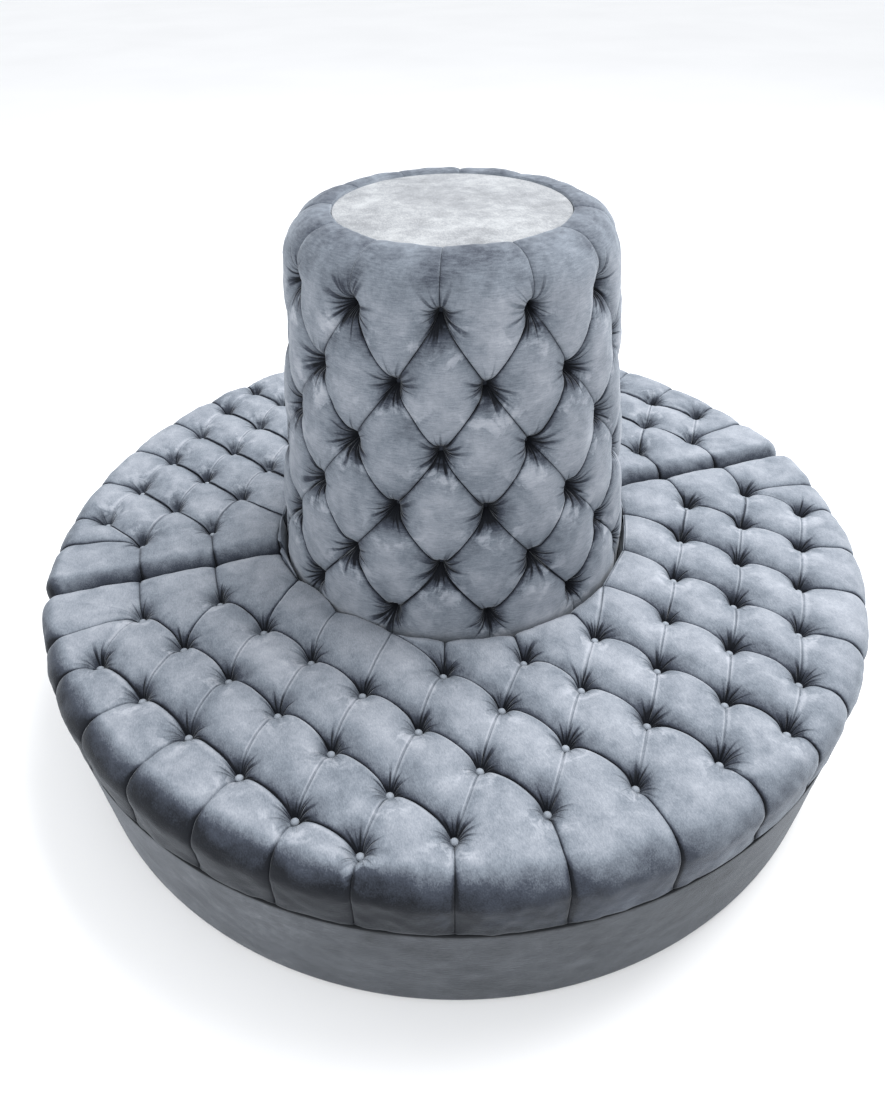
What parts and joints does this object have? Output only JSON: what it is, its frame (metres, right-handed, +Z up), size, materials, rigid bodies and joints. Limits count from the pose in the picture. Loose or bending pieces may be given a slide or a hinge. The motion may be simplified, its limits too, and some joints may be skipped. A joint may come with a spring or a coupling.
{
  "type": "tufted lobby sofa",
  "caption": "Round tufted lobby sofa: half-ring seats on plain plinths, pushed together round a tapering tufted column with a padded rim and a plain round top.",
  "frame": {"origin": "on the floor, under the middle of the column", "axes": "+Z up, X along the split between the seats, the front seat at -Y"},
  "size_m": [1.9962, 2, 1.1886],
  "materials": {
    "velvet_tufted": "crushed velvet, deep buttoned",
    "velvet_buttons": "velvet, stretched over buttons",
    "velvet_plinth": "velvet, stretched plain",
    "velvet_top": "velvet, stretched plain, nap brushed light",
    "frame_plywood": "bare plywood",
    "zinc_steel": "zinc plated",
    "glide_plastic": "moulded"
  },
  "bodies": {
    "root": {"column_base_board": "frame_plywood", "column_buttons": "velvet_buttons", "column_cushion": "velvet_tufted", "column_glides": "glide_plastic", "column_lower_posts": "frame_plywood", "column_middle_board": "frame_plywood", "column_skin": "frame_plywood", "column_top_board": "frame_plywood", "column_upper_posts": "frame_plywood", "front_base_board": "frame_plywood", "front_end_boards": "frame_plywood", "front_outer_skin": "frame_plywood", "front_plinth_cover": "velvet_plinth", "front_ribs": "frame_plywood", "front_seat_board": "frame_plywood", "front_seat_buttons": "velvet_buttons", "front_seat_cushion": "velvet_tufted", "front_seat_glides": "glide_plastic", "link_bolts": "zinc_steel", "link_nuts": "zinc_steel", "rear_base_board": "frame_plywood", "rear_end_boards": "frame_plywood", "rear_outer_skin": "frame_plywood", "rear_plinth_cover": "velvet_plinth", "rear_ribs": "frame_plywood", "rear_seat_board": "frame_plywood", "rear_seat_buttons": "velvet_buttons", "rear_seat_cushion": "velvet_tufted", "rear_seat_glides": "glide_plastic", "tie_plates": "zinc_steel", "top_panel_board": "frame_plywood", "top_panel_cover": "velvet_top"}
  },
  "joints": []
}
